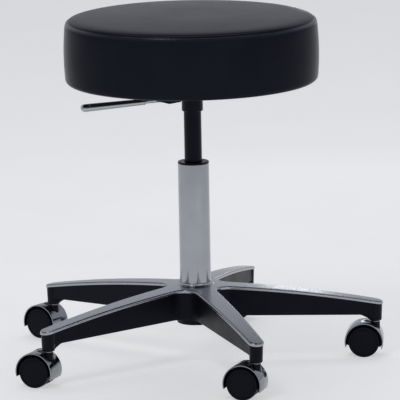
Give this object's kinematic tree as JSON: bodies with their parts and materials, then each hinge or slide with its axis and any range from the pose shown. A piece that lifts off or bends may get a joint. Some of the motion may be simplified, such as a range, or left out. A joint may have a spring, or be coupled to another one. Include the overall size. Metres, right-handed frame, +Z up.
{
  "type": "medical stool",
  "caption": "Round padded swivel stool whose gas lift column stands on a star base with hooded twin-wheel casters; a lever under the seat frees the lift.",
  "frame": {"origin": "on the floor, on the axis of the gas lift column", "axes": "+Z up along the column, +X along one leg of the base, the leg that points to the right in the picture"},
  "size_m": [0.5896, 0.6087, 0.564],
  "materials": {
    "cast_aluminium": "polished",
    "bright_steel": "satin",
    "plain_steel": "satin",
    "zinc_steel": "satin",
    "chromed_tube": "polished",
    "chromed_rod": "polished",
    "chromed_stem": "polished",
    "chromed_hood": "polished",
    "black_enamel": "satin",
    "black_bush": "satin",
    "black_seal": "matte",
    "bumper_rubber": "matte",
    "plywood": "matte",
    "seat_foam": "matte",
    "black_vinyl": "satin",
    "dust_cloth": "matte",
    "caster_nylon": "satin",
    "wheel_nylon": "satin"
  },
  "bodies": {
    "base": {"star_base": "cast_aluminium", "grip_rings": "bright_steel", "column_tube": "chromed_tube", "column_end_plate": "plain_steel", "column_guide_bush": "black_bush", "thrust_washer_lower": "plain_steel", "thrust_balls": "bright_steel"},
    "spindle": {"piston_rod": "bright_steel", "piston": "black_seal", "rod_clip": "plain_steel", "thrust_washer_upper": "plain_steel", "rubber_bumper": "bumper_rubber"},
    "seat": {"gas_cylinder": "black_enamel", "cylinder_seal": "black_seal", "taper_socket": "black_enamel", "seat_plate": "black_enamel", "lever_bracket": "black_enamel", "lever_pivot": "bright_steel", "seat_screws": "zinc_steel", "t_nuts": "zinc_steel", "seat_board": "plywood", "seat_foam": "seat_foam", "seat_cover": "black_vinyl", "dust_cover": "dust_cloth"},
    "lever": {"lever_rod": "chromed_rod", "lever_handle": "chromed_rod"},
    "release_pin": {"release_pin": "bright_steel"},
    "caster_1": {"caster_stem_1": "chromed_stem", "caster_body_1": "caster_nylon", "caster_hood_1": "chromed_hood", "caster_axle_1": "bright_steel"},
    "caster_2": {"caster_stem_2": "chromed_stem", "caster_body_2": "caster_nylon", "caster_hood_2": "chromed_hood", "caster_axle_2": "bright_steel"},
    "caster_3": {"caster_stem_3": "chromed_stem", "caster_body_3": "caster_nylon", "caster_hood_3": "chromed_hood", "caster_axle_3": "bright_steel"},
    "caster_4": {"caster_stem_4": "chromed_stem", "caster_body_4": "caster_nylon", "caster_hood_4": "chromed_hood", "caster_axle_4": "bright_steel"},
    "caster_5": {"caster_stem_5": "chromed_stem", "caster_body_5": "caster_nylon", "caster_hood_5": "chromed_hood", "caster_axle_5": "bright_steel"},
    "wheel_near_1": {"wheel_near_1": "wheel_nylon"},
    "wheel_far_1": {"wheel_far_1": "wheel_nylon"},
    "wheel_near_2": {"wheel_near_2": "wheel_nylon"},
    "wheel_far_2": {"wheel_far_2": "wheel_nylon"},
    "wheel_near_3": {"wheel_near_3": "wheel_nylon"},
    "wheel_far_3": {"wheel_far_3": "wheel_nylon"},
    "wheel_near_4": {"wheel_near_4": "wheel_nylon"},
    "wheel_far_4": {"wheel_far_4": "wheel_nylon"},
    "wheel_near_5": {"wheel_near_5": "wheel_nylon"},
    "wheel_far_5": {"wheel_far_5": "wheel_nylon"}
  },
  "joints": [
    {"name": "seat_turn", "type": "hinge", "parent": "base", "child": "spindle", "pos_m": [0, 0, 0.0727], "axis": [0, 0, 1], "continuous": true},
    {"name": "lift", "type": "slide", "parent": "spindle", "child": "seat", "axis": [0, 0, 1], "range_m": [-0.078, 0.062]},
    {"name": "lever_tilt", "type": "hinge", "parent": "seat", "child": "lever", "pos_m": [-0.03763, -0.00529, 0.4269], "axis": [-0.1392, 0.9903, 0], "range_deg": [0, 4], "stiffness_Nm_per_rad": 2, "springref_deg": -6.88},
    {"name": "pin_press", "type": "slide", "parent": "seat", "child": "release_pin", "axis": [0, 0, 1], "range_m": [-0.003, 0]},
    {"name": "caster_swivel_1", "type": "hinge", "parent": "base", "child": "caster_1", "pos_m": [0.2895, 0, 0.0575], "axis": [0, 0, 1], "continuous": true},
    {"name": "wheel_near_spin_1", "type": "hinge", "parent": "caster_1", "child": "wheel_near_1", "pos_m": [0.27139, 0.00181, 0.025], "axis": [-0.0993, -0.9951, 0], "continuous": true},
    {"name": "wheel_far_spin_1", "type": "hinge", "parent": "caster_1", "child": "wheel_far_1", "pos_m": [0.27139, 0.00181, 0.025], "axis": [-0.0993, -0.9951, 0], "continuous": true},
    {"name": "caster_swivel_2", "type": "hinge", "parent": "base", "child": "caster_2", "pos_m": [0.08946, 0.27533, 0.0575], "axis": [0, 0, 1], "continuous": true},
    {"name": "wheel_near_spin_2", "type": "hinge", "parent": "caster_2", "child": "wheel_near_2", "pos_m": [0.07236, 0.28156, 0.025], "axis": [-0.342, -0.9397, 0], "continuous": true},
    {"name": "wheel_far_spin_2", "type": "hinge", "parent": "caster_2", "child": "wheel_far_2", "pos_m": [0.07236, 0.28156, 0.025], "axis": [-0.342, -0.9397, 0], "continuous": true},
    {"name": "caster_swivel_3", "type": "hinge", "parent": "base", "child": "caster_3", "pos_m": [-0.23421, 0.17016, 0.0575], "axis": [0, 0, 1], "continuous": true},
    {"name": "wheel_near_spin_3", "type": "hinge", "parent": "caster_3", "child": "wheel_near_3", "pos_m": [-0.24903, 0.18073, 0.025], "axis": [-0.5807, -0.8141, 0], "continuous": true},
    {"name": "wheel_far_spin_3", "type": "hinge", "parent": "caster_3", "child": "wheel_far_3", "pos_m": [-0.24903, 0.18073, 0.025], "axis": [-0.5807, -0.8141, 0], "continuous": true},
    {"name": "caster_swivel_4", "type": "hinge", "parent": "base", "child": "caster_4", "pos_m": [-0.23421, -0.17016, 0.0575], "axis": [0, 0, 1], "continuous": true},
    {"name": "wheel_near_spin_4", "type": "hinge", "parent": "caster_4", "child": "wheel_near_4", "pos_m": [-0.25082, -0.16273, 0.025], "axis": [-0.4083, -0.9128, 0], "continuous": true},
    {"name": "wheel_far_spin_4", "type": "hinge", "parent": "caster_4", "child": "wheel_far_4", "pos_m": [-0.25082, -0.16273, 0.025], "axis": [-0.4083, -0.9128, 0], "continuous": true},
    {"name": "caster_swivel_5", "type": "hinge", "parent": "base", "child": "caster_5", "pos_m": [0.08946, -0.27533, 0.0575], "axis": [0, 0, 1], "continuous": true},
    {"name": "wheel_near_spin_5", "type": "hinge", "parent": "caster_5", "child": "wheel_near_5", "pos_m": [0.07224, -0.26944, 0.025], "axis": [-0.3239, -0.9461, 0], "continuous": true},
    {"name": "wheel_far_spin_5", "type": "hinge", "parent": "caster_5", "child": "wheel_far_5", "pos_m": [0.07224, -0.26944, 0.025], "axis": [-0.3239, -0.9461, 0], "continuous": true}
  ],
  "couplings": [
    {"joint": "pin_press", "follows": "lever_tilt", "m_per_rad": -0.0425}
  ]
}
